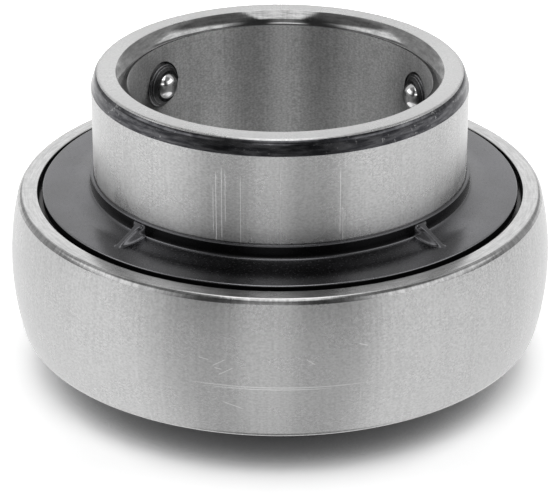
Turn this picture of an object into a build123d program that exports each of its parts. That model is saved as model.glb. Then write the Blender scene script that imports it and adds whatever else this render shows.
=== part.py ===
from build123d import *
import math
import os

os.makedirs("parts", exist_ok=True)

# Insert bearing with a ball-shaped outside, a wide inner ring and two set screws.
# The origin lies on the bearing's axis in the middle plane of the outer ring.
# +Z points along the long side of the inner ring, where the set screws are.

# The bearing is built up outwards from the shaft: wall, ball and wall make the 90 mm sphere
bore_radius = 25.0
race_wall = 3.57
race_play = 0.08
ball_radius = 6.35
ball_count = 10
shoulder_height = 2.31

# Raceways: each groove is a little rounder than the ball
race_conformity = 1.03
race_radius = ball_radius * race_conformity
inner_race_bottom = bore_radius + race_wall
pitch_radius = inner_race_bottom + race_play + ball_radius
outer_race_bottom = pitch_radius + ball_radius + race_play
inner_race_centre = inner_race_bottom + race_radius
outer_race_centre = outer_race_bottom - race_radius
land_radius = inner_race_bottom + shoulder_height
outer_shoulder_radius = outer_race_bottom - shoulder_height
sphere_radius = outer_race_bottom + race_wall

# Cage of two pressed half ribbons held together by rivets
cage_half_width = 2.3
cage_inner_radius = pitch_radius - cage_half_width
cage_outer_radius = pitch_radius + cage_half_width
cage_thickness = 1.1
pocket_play = 0.15
pocket_radius = ball_radius + pocket_play
shell_radius = pocket_radius + cage_thickness
rivet_radius = 0.9
rivet_head_radius = 1.75
rivet_head_height = 0.75
rivet_head_round = 0.55

# Outer ring: from the cage outwards come the seal groove, the mouth and the face
seal_gap = 1.0
groove_height = 1.2
groove_cover = 2.2
seal_groove_bottom = shell_radius + seal_gap
seal_groove_top = seal_groove_bottom + groove_height
outer_half_width = seal_groove_top + groove_cover
seat_step = 0.98
groove_depth = 0.45
groove_edge = 0.2
mouth_step = 0.2
mouth_depth = 1.3
seat_radius = outer_shoulder_radius + seat_step
seal_groove_radius = seat_radius + groove_depth
face_inner_radius = seat_radius + mouth_step
bevel_depth = 0.86
bevel_run = 0.8
bevel_height = outer_half_width - bevel_depth
bevel_radius = math.sqrt(sphere_radius**2 - bevel_height**2)
face_outer_radius = bevel_radius - bevel_run
grease_hole_radius = 1.0
grease_hole_cover = 1.75
grease_hole_height = grease_hole_cover - seal_groove_bottom
grease_hole_angles = (30.0, 150.0)

# Slingers, pressed onto the inner ring and a little proud of the outer ring's face
slinger_stand = 0.4
slinger_top = outer_half_width + slinger_stand
slinger_thickness = 0.8
slinger_gap = 0.85
slinger_radius = face_inner_radius - slinger_gap
slinger_rim_depth = 1.5
slinger_rim_thickness = 0.6
slinger_rim_round = 0.3
slinger_dish_rise = 0.7
slinger_dish_run = 3.5
collar_thickness = 0.62
collar_height = 3.0
collar_top = slinger_top + collar_height
collar_radius = land_radius + collar_thickness
collar_foot_height = slinger_top + slinger_dish_rise
collar_foot_round = 0.3
dish_radius = collar_radius + slinger_dish_run
underside_height = collar_foot_height - slinger_thickness
collar_lip_round = 0.25
rib_count = 4
rib_start_angle = 45.0
rib_length = 4.8
rib_end_radius = collar_radius + rib_length
rib_head_height = 1.75
rib_foot_height = 0.12
rib_head_base = 3.1
rib_head_crest = 0.9
rib_foot_base = 1.5
rib_foot_crest = 0.7
rib_sunk = 0.4

# Set screws, a third of a turn apart, whose rims stand into the bore by these amounts
screw_angles = (143.5, 23.5)
screw_stands = (1.3, 0.9)
screw_rise = 8.15
screw_height = collar_top + screw_rise
screw_radius = 3.92
screw_play = 0.08
screw_hole_radius = screw_radius + screw_play
screw_length = 8.2
screw_end_radius = 2.75
screw_cone_length = 1.1
screw_back_chamfer = 0.45
socket_across_flats = 4.0
socket_depth = 3.0
socket_cone_depth = 0.5
tip_ball_radius = 2.38
tip_ball_play = 0.05
tip_ball_stand = 1.5
screw_sink = 0.5

# Inner ring: the long side covers the screws, the short side the lower collar
screw_cover = 9.05
foot_length = 3.6
long_side = screw_height + screw_cover
short_side = collar_top + foot_length
rim_run = 1.03
rim_radius = land_radius - rim_run
rim_round_run = 0.7
rim_round_radius = land_radius - rim_round_run
rim_round_drop = 0.28
rim_taper_drop = 2.49
bore_chamfer = 1.7
foot_chamfer = 1.0
foot_taper_drop = 1.4
foot_bore_chamfer = 1.2

# Seals: a steel core clipped into the outer ring and a rubber lip on the inner ring
core_thickness = 0.6
core_gap = 1.72
core_flange = 4.15
core_dish = 0.5
core_bend = 0.25
core_top = seal_groove_top
core_face = core_top - core_dish
core_under = core_face - core_thickness
core_inner_radius = land_radius + core_gap
core_step_radius = seal_groove_radius - core_flange
lip_play = 0.08
lip_thickness = 0.45
lip_width = 1.0
lip_rise = 1.6
lip_drop = 0.35
lip_inner_radius = land_radius + lip_play
lip_outer_radius = core_inner_radius + lip_width
lip_top = core_face + lip_rise
lip_bottom = core_under - lip_drop
fin_reach = 0.8
fin_radius = lip_outer_radius + fin_reach
fin_thickness = 0.5
fin_gap = 0.1
fin_top = slinger_top - slinger_thickness - fin_gap


def radial_line(angle):
    """Place whose Z runs outwards from the axis at a screw's height and angle."""
    return Location((0, 0, screw_height), (0, 0, angle)) * Location((0, 0, 0), (0, 90, 0))


# Outer ring: spherical outside, one deep raceway, a seal groove and a mouth at each end

with BuildPart() as outer_ring:
    with BuildSketch(Plane.XZ):
        with BuildLine():
            Polyline(
                (outer_shoulder_radius, 0),
                (outer_shoulder_radius, seal_groove_bottom - groove_edge),
                (seal_groove_radius - groove_edge, seal_groove_bottom),
                (seal_groove_radius, seal_groove_bottom + groove_edge),
                (seal_groove_radius, seal_groove_top),
                (seat_radius, seal_groove_top + groove_edge),
                (seat_radius, outer_half_width - mouth_depth),
                (face_inner_radius, outer_half_width - mouth_depth + groove_edge),
                (face_inner_radius, outer_half_width),
                (face_outer_radius, outer_half_width),
                (bevel_radius, bevel_height),
            )
            RadiusArc((bevel_radius, bevel_height), (sphere_radius, 0), sphere_radius)
            Line((sphere_radius, 0), (outer_shoulder_radius, 0))
        make_face()
    revolve(axis=Axis.Z)
    mirror(about=Plane.XY)
    Torus(outer_race_centre, race_radius, mode=Mode.SUBTRACT)
    for angle in grease_hole_angles:
        hole_line = Plane.XY.rotated((0, 0, angle)) * Location((0, 0, grease_hole_height), (0, 90, 0))
        with Locations(hole_line):
            Cylinder(
                grease_hole_radius,
                sphere_radius,
                align=(Align.CENTER, Align.CENTER, Align.MIN),
                mode=Mode.SUBTRACT,
            )
outer_ring.part.label = "outer_ring"
export_step(outer_ring.part, "parts/outer_ring.step")

# Inner ring: wide sleeve with its raceway off centre and two threaded radial holes

with BuildPart() as inner_ring:
    with BuildSketch(Plane.XZ):
        with BuildLine():
            Polyline(
                (bore_radius, foot_bore_chamfer - short_side),
                (bore_radius, long_side - bore_chamfer),
                (bore_radius + bore_chamfer, long_side),
                (rim_radius, long_side),
                (rim_round_radius, long_side - rim_round_drop),
                (land_radius, long_side - rim_taper_drop),
                (land_radius, foot_taper_drop - short_side),
                (land_radius - foot_chamfer, -short_side),
                (bore_radius + foot_bore_chamfer, -short_side),
                close=True,
            )
        make_face()
    revolve(axis=Axis.Z)
    Torus(inner_race_centre, race_radius, mode=Mode.SUBTRACT)
    for angle in screw_angles:
        with Locations(radial_line(angle)):
            Cylinder(
                screw_hole_radius,
                sphere_radius,
                align=(Align.CENTER, Align.CENTER, Align.MIN),
                mode=Mode.SUBTRACT,
            )
        with Locations(radial_line(angle) * Location((0, 0, land_radius - screw_sink))):
            Cone(
                screw_hole_radius,
                screw_hole_radius + 2 * screw_sink,
                2 * screw_sink,
                align=(Align.CENTER, Align.CENTER, Align.MIN),
                mode=Mode.SUBTRACT,
            )
inner_ring.part.label = "inner_ring"
export_step(inner_ring.part, "parts/inner_ring.step")

# Balls

for number in range(ball_count):
    angle = math.radians(number * 360 / ball_count)
    with BuildPart() as ball:
        with Locations((pitch_radius * math.cos(angle), pitch_radius * math.sin(angle), 0)):
            Sphere(ball_radius)
    ball.part.label = f"ball_{number + 1:02d}"
    export_step(ball.part, f"parts/{ball.part.label}.step")

# Cage: each half is a flat ribbon that bulges over every ball, with a rivet hole in each land

with BuildPart() as cage_half:
    with BuildSketch():
        Circle(cage_outer_radius)
        Circle(cage_inner_radius, mode=Mode.SUBTRACT)
    extrude(amount=cage_thickness)
    with PolarLocations(pitch_radius, ball_count):
        Sphere(shell_radius)
    with BuildSketch(Plane.XY.offset(-shell_radius)):
        Circle(cage_outer_radius)
        Circle(cage_inner_radius, mode=Mode.SUBTRACT)
    extrude(amount=2 * shell_radius, mode=Mode.INTERSECT)
    with Locations((0, 0, -shell_radius)):
        Cylinder(
            sphere_radius,
            shell_radius,
            align=(Align.CENTER, Align.CENTER, Align.MIN),
            mode=Mode.SUBTRACT,
        )
    with PolarLocations(pitch_radius, ball_count):
        Sphere(pocket_radius, mode=Mode.SUBTRACT)
    with PolarLocations(pitch_radius, ball_count, start_angle=180 / ball_count):
        Cylinder(rivet_radius, 3 * cage_thickness, mode=Mode.SUBTRACT)

with BuildPart() as cage_upper:
    add(cage_half.part)
cage_upper.part.label = "cage_upper"
export_step(cage_upper.part, "parts/cage_upper.step")

with BuildPart() as cage_lower:
    add(mirror(cage_half.part, about=Plane.XY, mode=Mode.PRIVATE))
cage_lower.part.label = "cage_lower"
export_step(cage_lower.part, "parts/cage_lower.step")

# Rivets: one in each land, with a low round head on both sides

with BuildPart() as rivet:
    Cylinder(rivet_head_radius, 2 * (cage_thickness + rivet_head_height))
    fillet(rivet.edges().filter_by(GeomType.CIRCLE), rivet_head_round)
    with BuildSketch(Plane.XY.offset(-cage_thickness)):
        Circle(2 * rivet_head_radius)
        Circle(rivet_radius, mode=Mode.SUBTRACT)
    extrude(amount=2 * cage_thickness, mode=Mode.SUBTRACT)

with BuildPart() as cage_rivets:
    with PolarLocations(pitch_radius, ball_count, start_angle=180 / ball_count):
        add(rivet.part)
cage_rivets.part.label = "cage_rivets"
export_step(cage_rivets.part, "parts/cage_rivets.step")

# Seal cores: dished steel rings whose rim clips into the groove of the outer ring

with BuildPart() as seal_core_upper:
    with BuildSketch(Plane.XZ):
        with BuildLine():
            Polyline(
                (core_inner_radius, core_under),
                (core_step_radius, core_under),
                (core_step_radius + core_dish, core_top - core_thickness),
                (seal_groove_radius - core_thickness, core_top - core_thickness),
                (seal_groove_radius - core_thickness, seal_groove_bottom + groove_edge),
                (seal_groove_radius, seal_groove_bottom + groove_edge),
                (seal_groove_radius, core_top),
                (core_step_radius + core_dish - core_bend, core_top),
                (core_step_radius - core_bend, core_face),
                (core_inner_radius, core_face),
                close=True,
            )
        make_face()
    revolve(axis=Axis.Z)
seal_core_upper.part.label = "seal_core_upper"
export_step(seal_core_upper.part, "parts/seal_core_upper.step")

with BuildPart() as seal_core_lower:
    add(mirror(seal_core_upper.part, about=Plane.XY, mode=Mode.PRIVATE))
seal_core_lower.part.label = "seal_core_lower"
export_step(seal_core_lower.part, "parts/seal_core_lower.step")

# Seal lips: rubber bonded round the inner edge of each core, with one lip on the inner
# ring and a thin fin that reaches up to the slinger

with BuildPart() as seal_lip_upper:
    with BuildSketch(Plane.XZ):
        with BuildLine():
            Polyline(
                (lip_inner_radius, lip_bottom),
                (lip_inner_radius + lip_thickness, lip_bottom),
                (lip_inner_radius + 2 * lip_thickness, core_under - lip_thickness),
                (lip_outer_radius, core_under - lip_thickness),
                (lip_outer_radius, core_under),
                (core_inner_radius, core_under),
                (core_inner_radius, core_face),
                (lip_outer_radius, core_face),
                (lip_outer_radius, core_face + lip_thickness),
                (fin_radius - fin_thickness, core_face + lip_thickness),
                (fin_radius, fin_top),
                (fin_radius - fin_thickness, fin_top),
                (fin_radius - 3 * fin_thickness, core_face + 2 * lip_thickness),
                (lip_inner_radius + lip_thickness, core_face + 2 * lip_thickness),
                (lip_inner_radius, lip_top),
                (lip_inner_radius + lip_thickness, core_face),
                (lip_inner_radius + lip_thickness, core_under),
                close=True,
            )
        make_face()
    revolve(axis=Axis.Z)
seal_lip_upper.part.label = "seal_lip_upper"
export_step(seal_lip_upper.part, "parts/seal_lip_upper.step")

with BuildPart() as seal_lip_lower:
    add(mirror(seal_lip_upper.part, about=Plane.XY, mode=Mode.PRIVATE))
seal_lip_lower.part.label = "seal_lip_lower"
export_step(seal_lip_lower.part, "parts/seal_lip_lower.step")

# Slingers: pressed steel discs with a collar, a turned-in rim and four gusset ribs

with BuildPart() as slinger_upper:
    with BuildSketch(Plane.XZ):
        with BuildLine():
            Polyline(
                (dish_radius, slinger_top - slinger_thickness),
                (slinger_radius - slinger_rim_thickness, slinger_top - slinger_thickness),
                (slinger_radius - slinger_rim_thickness, slinger_top - slinger_rim_depth),
                (slinger_radius, slinger_top - slinger_rim_depth),
                (slinger_radius, slinger_top),
                (dish_radius, slinger_top),
            )
            TangentArc((dish_radius, slinger_top), (collar_radius, collar_foot_height), tangent=(-1, 0))
            Polyline(
                (collar_radius, collar_foot_height),
                (collar_radius, collar_top),
                (land_radius, collar_top),
                (land_radius, underside_height),
            )
            Line((land_radius, underside_height), (dish_radius, slinger_top - slinger_thickness))
        make_face()
    revolve(axis=Axis.Z)
    round_edges = slinger_upper.edges().filter_by(GeomType.CIRCLE)
    rim_edge = round_edges.group_by(SortBy.RADIUS)[-1].sort_by(Axis.Z)[-1]
    collar_lip = round_edges.group_by(Axis.Z)[-1].sort_by(SortBy.RADIUS)[-1]
    foot_edge = round_edges.group_by(Axis.Z)[-2].sort_by(SortBy.RADIUS)[0]
    fillet(foot_edge, collar_foot_round)
    fillet(rim_edge, slinger_rim_round)
    fillet(collar_lip, collar_lip_round)
    for number in range(rib_count):
        angle = rib_start_angle + number * 360 / rib_count
        head_plane = Plane.XY.rotated((0, 0, angle)) * Plane(
            origin=(collar_radius - rib_sunk, 0, collar_foot_height),
            x_dir=(0, 1, 0),
            z_dir=(1, 0, 0),
        )
        foot_plane = Plane.XY.rotated((0, 0, angle)) * Plane(
            origin=(rib_end_radius, 0, slinger_top),
            x_dir=(0, 1, 0),
            z_dir=(1, 0, 0),
        )
        with BuildSketch(head_plane):
            with BuildLine():
                Polyline(
                    (-rib_head_base / 2, -rib_sunk),
                    (rib_head_base / 2, -rib_sunk),
                    (rib_head_crest / 2, rib_head_height),
                    (-rib_head_crest / 2, rib_head_height),
                    close=True,
                )
            make_face()
        with BuildSketch(foot_plane):
            with BuildLine():
                Polyline(
                    (-rib_foot_base / 2, -rib_sunk),
                    (rib_foot_base / 2, -rib_sunk),
                    (rib_foot_crest / 2, rib_foot_height),
                    (-rib_foot_crest / 2, rib_foot_height),
                    close=True,
                )
            make_face()
        loft()
slinger_upper.part.label = "slinger_upper"
export_step(slinger_upper.part, "parts/slinger_upper.step")

with BuildPart() as slinger_lower:
    add(mirror(slinger_upper.part, about=Plane.XY, mode=Mode.PRIVATE))
slinger_lower.part.label = "slinger_lower"
export_step(slinger_lower.part, "parts/slinger_lower.step")

# Set screws: socket screws whose tips are spun over a captive steel ball

with BuildPart() as set_screw:
    with BuildSketch(Plane.XZ):
        with BuildLine():
            Polyline(
                (0, 0),
                (screw_end_radius, 0),
                (screw_radius, screw_cone_length),
                (screw_radius, screw_length - screw_back_chamfer),
                (screw_radius - screw_back_chamfer, screw_length),
                (0, screw_length),
                close=True,
            )
        make_face()
    revolve(axis=Axis.Z)
    with BuildSketch(Plane.XY.offset(screw_length)):
        RegularPolygon(socket_across_flats / 2, 6, major_radius=False)
    extrude(amount=-socket_depth, mode=Mode.SUBTRACT)
    with Locations((0, 0, screw_length - socket_depth)):
        Cone(
            0,
            socket_across_flats / 2,
            socket_cone_depth,
            align=(Align.CENTER, Align.CENTER, Align.MAX),
            mode=Mode.SUBTRACT,
        )
    with Locations((0, 0, tip_ball_radius - tip_ball_stand)):
        Sphere(tip_ball_radius + tip_ball_play, mode=Mode.SUBTRACT)

with BuildPart() as tip_ball:
    with Locations((0, 0, tip_ball_radius - tip_ball_stand)):
        Sphere(tip_ball_radius)

for letter, angle, stand in zip("ab", screw_angles, screw_stands):
    reach = bore_radius - stand
    with BuildPart() as placed_screw:
        with Locations(radial_line(angle) * Location((0, 0, reach))):
            add(set_screw.part)
    placed_screw.part.label = f"set_screw_{letter}"
    export_step(placed_screw.part, f"parts/{placed_screw.part.label}.step")
    with BuildPart() as placed_ball:
        with Locations(radial_line(angle) * Location((0, 0, reach))):
            add(tip_ball.part)
    placed_ball.part.label = f"set_screw_ball_{letter}"
    export_step(placed_ball.part, f"parts/{placed_ball.part.label}.step")
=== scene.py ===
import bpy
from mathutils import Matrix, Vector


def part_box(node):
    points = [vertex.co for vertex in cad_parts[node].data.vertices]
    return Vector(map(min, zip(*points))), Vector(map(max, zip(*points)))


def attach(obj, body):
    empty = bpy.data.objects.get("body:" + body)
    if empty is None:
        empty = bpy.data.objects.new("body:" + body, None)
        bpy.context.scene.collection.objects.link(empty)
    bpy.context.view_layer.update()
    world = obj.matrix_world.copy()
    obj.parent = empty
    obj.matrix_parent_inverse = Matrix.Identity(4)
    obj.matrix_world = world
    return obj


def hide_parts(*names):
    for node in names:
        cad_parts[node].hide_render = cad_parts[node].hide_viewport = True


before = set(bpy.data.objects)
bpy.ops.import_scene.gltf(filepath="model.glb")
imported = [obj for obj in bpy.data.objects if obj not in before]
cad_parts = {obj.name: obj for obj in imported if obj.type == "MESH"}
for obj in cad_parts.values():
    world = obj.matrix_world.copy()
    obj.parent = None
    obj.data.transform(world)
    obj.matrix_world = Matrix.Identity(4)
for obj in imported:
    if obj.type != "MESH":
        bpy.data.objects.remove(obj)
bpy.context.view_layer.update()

import math

import bmesh
import bpy
import numpy as np
from mathutils import Vector

bl_info = {
    "name": "Insert Bearing",
    "version": (1, 0, 0),
    "blender": (4, 5, 0),
    "location": "View3D > Sidebar > Bearing",
    "description": "Dresses a wide-inner-ring insert bearing in ground steel, dark slingers and set screws",
    "category": "Object",
}

MM = 0.001


def frame_size(node, axis, side):
    """One coordinate of a CAD node's box: axis 0, 1 or 2 and side 0 for the low or 1 for the high corner."""
    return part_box(node)[side][axis]


SPHERE_RADIUS = frame_size("outer_ring", 0, 1)
OUTER_HALF_WIDTH = frame_size("outer_ring", 2, 1)
LONG_SIDE = frame_size("inner_ring", 2, 1)
SHORT_SIDE = -frame_size("inner_ring", 2, 0)
LAND_RADIUS = frame_size("inner_ring", 0, 1)
COLLAR_TOP = frame_size("slinger_upper", 2, 1)
SLINGER_RADIUS = frame_size("slinger_upper", 0, 1)

# The set screws: letter, angle from +X in degrees, and distance of the tip from the axis in millimetres
SET_SCREWS = (("a", 143.5, 23.7), ("b", 23.5, 24.1))
TIP_BALL_RADIUS = 2.38 * MM
TIP_BALL_STAND = 1.5 * MM
BALL_PLAY = 0.08 * MM


def length(name, description, millimetres):
    return bpy.props.FloatProperty(
        name=name, description=description, default=millimetres * MM, unit="LENGTH")


def steps_round(name, description, count):
    return bpy.props.IntProperty(name=name, description=description, default=count)


def base_colour(name, description, *default):
    return bpy.props.FloatVectorProperty(name=name, description=description, subtype="COLOR", default=default)


def brightness(name, description, default):
    return bpy.props.FloatProperty(name=name, description=description, default=default)


class BearingSizes(bpy.types.PropertyGroup):
    """Sizes of the pieces that this file makes."""

    bore_radius: length("Bore radius", "Radius of the hole for the shaft", 25)
    ring_columns: steps_round("Ring columns", "Number of steps round the inner ring", 720)
    outer_columns: steps_round("Outer columns", "Number of steps round the outer ring", 504)
    race_radius: length("Race radius", "Radius of the raceway's section", 6.5405)
    pitch_radius: length("Pitch radius", "Radius of the circle of balls", 35)
    ball_radius: length("Ball radius", "Radius of each ball", 6.35)
    screw_height: length("Screw height", "Height of the set screws above the middle plane", 23.55)
    screw_hole_radius: length("Screw hole radius", "Radius of the set screw holes", 4.0)
    thread_pitch: length("Thread pitch", "Travel of a set screw in one turn", 1.0)
    grease_hole_radius: length("Grease hole radius", "Radius of the holes in the outer ring", 1.0)


class BearingColours(bpy.types.PropertyGroup):
    """Base colours of the finishes."""

    ground_steel: base_colour("Ground steel", "Colour of the ground faces", 0.52, 0.52, 0.52)
    scale: base_colour("Heat scale", "Colour of the unground chamfers", 0.1, 0.1, 0.105)
    coating: base_colour("Slinger coating", "Colour of the dark slingers", 0.125, 0.125, 0.13)
    black_oxide: base_colour("Black oxide", "Colour of the set screws", 0.03, 0.03, 0.031)
    rubber: base_colour("Rubber", "Colour of the seal lips", 0.025, 0.025, 0.027)


class StudioSettings(bpy.types.PropertyGroup):
    """Camera and light of the photograph."""

    focal_pixels: bpy.props.FloatProperty(
        name="Focal length", description="Focal length in pixels of the 560 pixel wide image", default=2520.0)
    distance: length("Distance", "Distance from the camera to the origin", 425.2)
    elevation: bpy.props.FloatProperty(
        name="Elevation", description="Height of the camera above the horizon",
        default=math.radians(25.69), subtype="ANGLE")
    aim_height: length("Aim height", "Height of the point the camera looks at", -0.89)
    side_light: brightness("Side light", "Brightness of the panels at both sides", 1.2)
    lamp_light: brightness("Lamp light", "Added brightness of the lamp in each side panel", 0.7)
    high_sides: brightness(
        "High sides", "Brightness of the gap between the side panels and the ceiling", 0.25)
    back_light: brightness("Back light", "Brightness of the studio behind the bearing", 1.25)
    dark_corners: brightness(
        "Dark corners", "Brightness of the room between the side panels and the panel behind", 0.6)
    high_back: brightness("High back", "Brightness of the room above the panel behind", 0.15)
    window_light: brightness("Window light", "Added brightness of the lamp above the camera", 1.6)
    right_share: brightness("Right share", "Light of the right panel as a share of the left one", 0.92)
    under_light: brightness("Under light", "Share of the table's light that is left under the bearing", 0.35)
    dark_front: brightness("Dark front", "Brightness of the room behind the camera", 0.07)
    strip_light: brightness("Strip light", "Added brightness of the strip behind the camera", 0.35)
    low_front: brightness("Low front", "Brightness of the table in front", 0.72)
    low_strip: brightness("Low strip", "Added brightness of the strip on the table in front", 0.18)
    top_light: brightness("Top light", "Brightness of the long panel overhead", 1.9)


def sizes():
    return bpy.context.scene.bearing_sizes


def colours():
    return bpy.context.scene.bearing_colours


# Sections and surfaces


def rounded_section(corners, steps=5):
    """A closed section from corners (radius, height, round): each corner is cut back along both of its
    sides and joined by an arc through a quadratic Bezier with the corner as its middle point."""
    points = np.array([[c[0], c[1]] for c in corners], float)
    before = np.roll(points, 1, axis=0)
    after = np.roll(points, -1, axis=0)
    section = []
    for point, last, following, corner in zip(points, before, after, corners):
        cut = corner[2]
        if cut <= 0:
            section.append(point[None])
            continue
        towards_last = (last - point) / np.linalg.norm(last - point)
        towards_next = (following - point) / np.linalg.norm(following - point)
        start = point + towards_last * cut
        end = point + towards_next * cut
        t = np.linspace(0, 1, steps)[:, None]
        section.append((1 - t) ** 2 * start + 2 * t * (1 - t) * point + t**2 * end)
    return np.concatenate(section)


def race_arc(centre_radius, arc_radius, land_radius, outward, steps=36):
    """The raceway's arc in the section, from below to above: a circle about (centre_radius, 0), cut off
    where it meets the land. outward is 1 on the outer ring and -1 on the inner ring."""
    reach = outward * (land_radius - centre_radius)
    limit = math.acos(reach / arc_radius)
    angle = np.linspace(-limit, limit, steps)
    radius = centre_radius + outward * arc_radius * np.cos(angle)
    return np.stack([radius, arc_radius * np.sin(angle)], axis=1)


def turned(section, columns):
    """A surface of revolution: row i of the grid is the section's point i carried round the axis, so
    (radius, height) becomes (radius cos a, radius sin a, height)."""
    angle = np.arange(columns) * 2 * math.pi / columns
    x = section[:, 0, None] * np.cos(angle)
    y = section[:, 0, None] * np.sin(angle)
    z = np.repeat(section[:, 1, None], columns, axis=1)
    return np.stack([x, y, z], axis=-1)


def grid_faces(rows, columns):
    """Quads of a grid that closes on itself both ways, with the row and column of each quad."""
    row, column = np.meshgrid(np.arange(rows), np.arange(columns), indexing="ij")
    row, column = row.ravel(), column.ravel()
    next_row = (row + 1) % rows
    next_column = (column + 1) % columns
    faces = np.stack([
        row * columns + column,
        row * columns + next_column,
        next_row * columns + next_column,
        next_row * columns + column,
    ], axis=1)
    return faces, row, column


def loft_faces(loops, count, offset=0):
    """Quads between successive closed loops of count points each."""
    loop, step = np.meshgrid(np.arange(loops - 1), np.arange(count), indexing="ij")
    loop, step = loop.ravel(), step.ravel()
    following = (step + 1) % count
    return np.stack([
        loop * count + step,
        loop * count + following,
        (loop + 1) * count + following,
        (loop + 1) * count + step,
    ], axis=1) + offset


def make_piece(name, vertices, faces, zones, finishes, body, node):
    """Puts vertices and faces into a mesh, gives each face its finish, closes the seams, turns the
    faces outwards, and makes the piece stand for a CAD node on that node's body. zones holds each
    face's number in the names of the finishes."""
    mesh = bpy.data.meshes.new(name)
    mesh.from_pydata(np.asarray(vertices).reshape(-1, 3).tolist(), [], [list(map(int, f)) for f in faces])
    for finish in finishes:
        mesh.materials.append(bpy.data.materials[finish])
    mesh.polygons.foreach_set("material_index", np.asarray(zones, np.int32))
    work = bmesh.new()
    work.from_mesh(mesh)
    bmesh.ops.remove_doubles(work, verts=work.verts, dist=1e-7)
    bmesh.ops.recalc_face_normals(work, faces=work.faces)
    work.to_mesh(mesh)
    work.free()
    mesh.polygons.foreach_set("use_smooth", np.ones(len(mesh.polygons), bool))
    mesh.set_sharp_from_angle(angle=math.radians(50))
    piece = bpy.data.objects.new(name, mesh)
    bpy.context.scene.collection.objects.link(piece)
    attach(piece, body)
    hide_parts(node)


def window_loop(low_row, high_row, low_column, high_column):
    """Grid points round a rectangular window, as rows and columns, counter-clockwise from its low corner."""
    along = np.arange(low_column, high_column)
    step = 1 if high_row > low_row else -1
    up = np.arange(low_row, high_row, step)
    rows = np.concatenate([
        np.full(len(along), low_row), up, np.full(len(along), high_row), up[::-1] + step])
    columns = np.concatenate([
        along, np.full(len(up), high_column), along[::-1] + 1, np.full(len(up), low_column)])
    return rows, columns


def hole_patch(grid, section, rows, columns, centre_angle, centre_height, hole_radius, loops=5):
    """Loops that lead from a window's edge to a round hole. Each point is moved in a straight line, seen
    along the hole, from the window's edge to the hole's circle, and stays on the turned surface."""
    edge = grid[rows, columns % grid.shape[1]]
    across = -edge[:, 0] * math.sin(centre_angle) + edge[:, 1] * math.cos(centre_angle)
    height = edge[:, 2]
    turn = np.arctan2(height - centre_height, across)
    circle_across = hole_radius * np.cos(turn)
    circle_height = centre_height + hole_radius * np.sin(turn)
    low, high = sorted((rows.min(), rows.max()))
    part = section[low:high + 1]
    part = part[np.argsort(part[:, 1])]
    share = np.linspace(0, 1, loops + 1)[1:, None]
    across = across + (circle_across - across) * share
    height = height + (circle_height - height) * share
    radius = np.interp(height, part[:, 1], part[:, 0])
    depth = np.sqrt(radius**2 - across**2)
    x = depth * math.cos(centre_angle) - across * math.sin(centre_angle)
    y = depth * math.sin(centre_angle) + across * math.cos(centre_angle)
    return np.stack([x, y, height], axis=-1), turn


def bored_ring(section, columns, holes, wall):
    """A turned ring with radial holes. Each hole is (angle, height, radius, outer rows, inner rows, half
    width in columns): its windows in the outer and inner side are left out of the grid and led to the
    hole, and wall(hole, turn, outer loop, inner loop) gives the loops between both circles."""
    grid = turned(section, columns)
    faces, row, column = grid_faces(len(section), columns)
    keep = np.ones(len(faces), bool)
    vertices = [grid.reshape(-1, 3)]
    extra_faces = []
    extra_rows = []
    count = grid.shape[0] * grid.shape[1]
    for hole in holes:
        angle, height, radius, outer_rows, inner_rows, half = hole
        middle = int(round(angle / (2 * math.pi) * columns))
        ends = []
        for low, high in (outer_rows, inner_rows):
            in_rows = (row >= min(low, high)) & (row < max(low, high))
            off = (column - (middle - half)) % columns
            keep &= ~(in_rows & (off < 2 * half))
            rows, cols = window_loop(low, high, middle - half, middle + half)
            loops, turn = hole_patch(grid, section, rows, cols, angle, height, radius)
            window = grid[rows, cols % columns][None]
            loops = np.concatenate([window, loops])
            vertices.append(loops.reshape(-1, 3))
            quads = loft_faces(loops.shape[0], loops.shape[1], count)
            extra_faces.append(quads)
            extra_rows.append(np.full(len(quads), min(low, high)))
            count += loops.shape[0] * loops.shape[1]
            ends.append((loops[-1], turn))
        tube = wall(hole, ends[0][1], ends[0][0], ends[1][0])
        vertices.append(tube.reshape(-1, 3))
        quads = loft_faces(tube.shape[0], tube.shape[1], count)
        extra_faces.append(quads)
        extra_rows.append(np.full(len(quads), -1))
        count += tube.shape[0] * tube.shape[1]
    faces = np.concatenate([faces[keep]] + extra_faces)
    rows = np.concatenate([row[keep]] + extra_rows)
    return np.concatenate(vertices), faces, rows


def plain_wall(hole, turn, outer, inner):
    """A straight tube between both circles."""
    share = np.linspace(0, 1, 5)[:, None, None]
    return outer[None] + (inner - outer)[None] * share


def threaded_wall(hole, turn, outer, inner):
    """A threaded tube: the radius at a point is the hole's radius plus a triangle wave of (depth over
    pitch, less the turn over a full turn), which dies away at both mouths."""
    angle, height, radius = hole[0], hole[1], hole[2]
    axis = np.array([math.cos(angle), math.sin(angle), 0])
    side = np.array([-math.sin(angle), math.cos(angle), 0])
    up = np.array([0, 0, 1.0])
    share = np.linspace(0, 1, 60)[:, None]
    depth = (outer @ axis)[None] * (1 - share) + (inner @ axis)[None] * share
    wave = np.abs(((depth / sizes().thread_pitch - turn[None] / (2 * math.pi)) % 1) * 2 - 1)
    fade = np.clip(np.minimum(share, 1 - share) / 0.08, 0, 1)
    reach = radius + 0.35 * MM * wave * fade
    flat = reach[..., None] * (np.cos(turn)[None, :, None] * side + np.sin(turn)[None, :, None] * up)
    return depth[..., None] * axis + flat + height * up


# Node helpers


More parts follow.
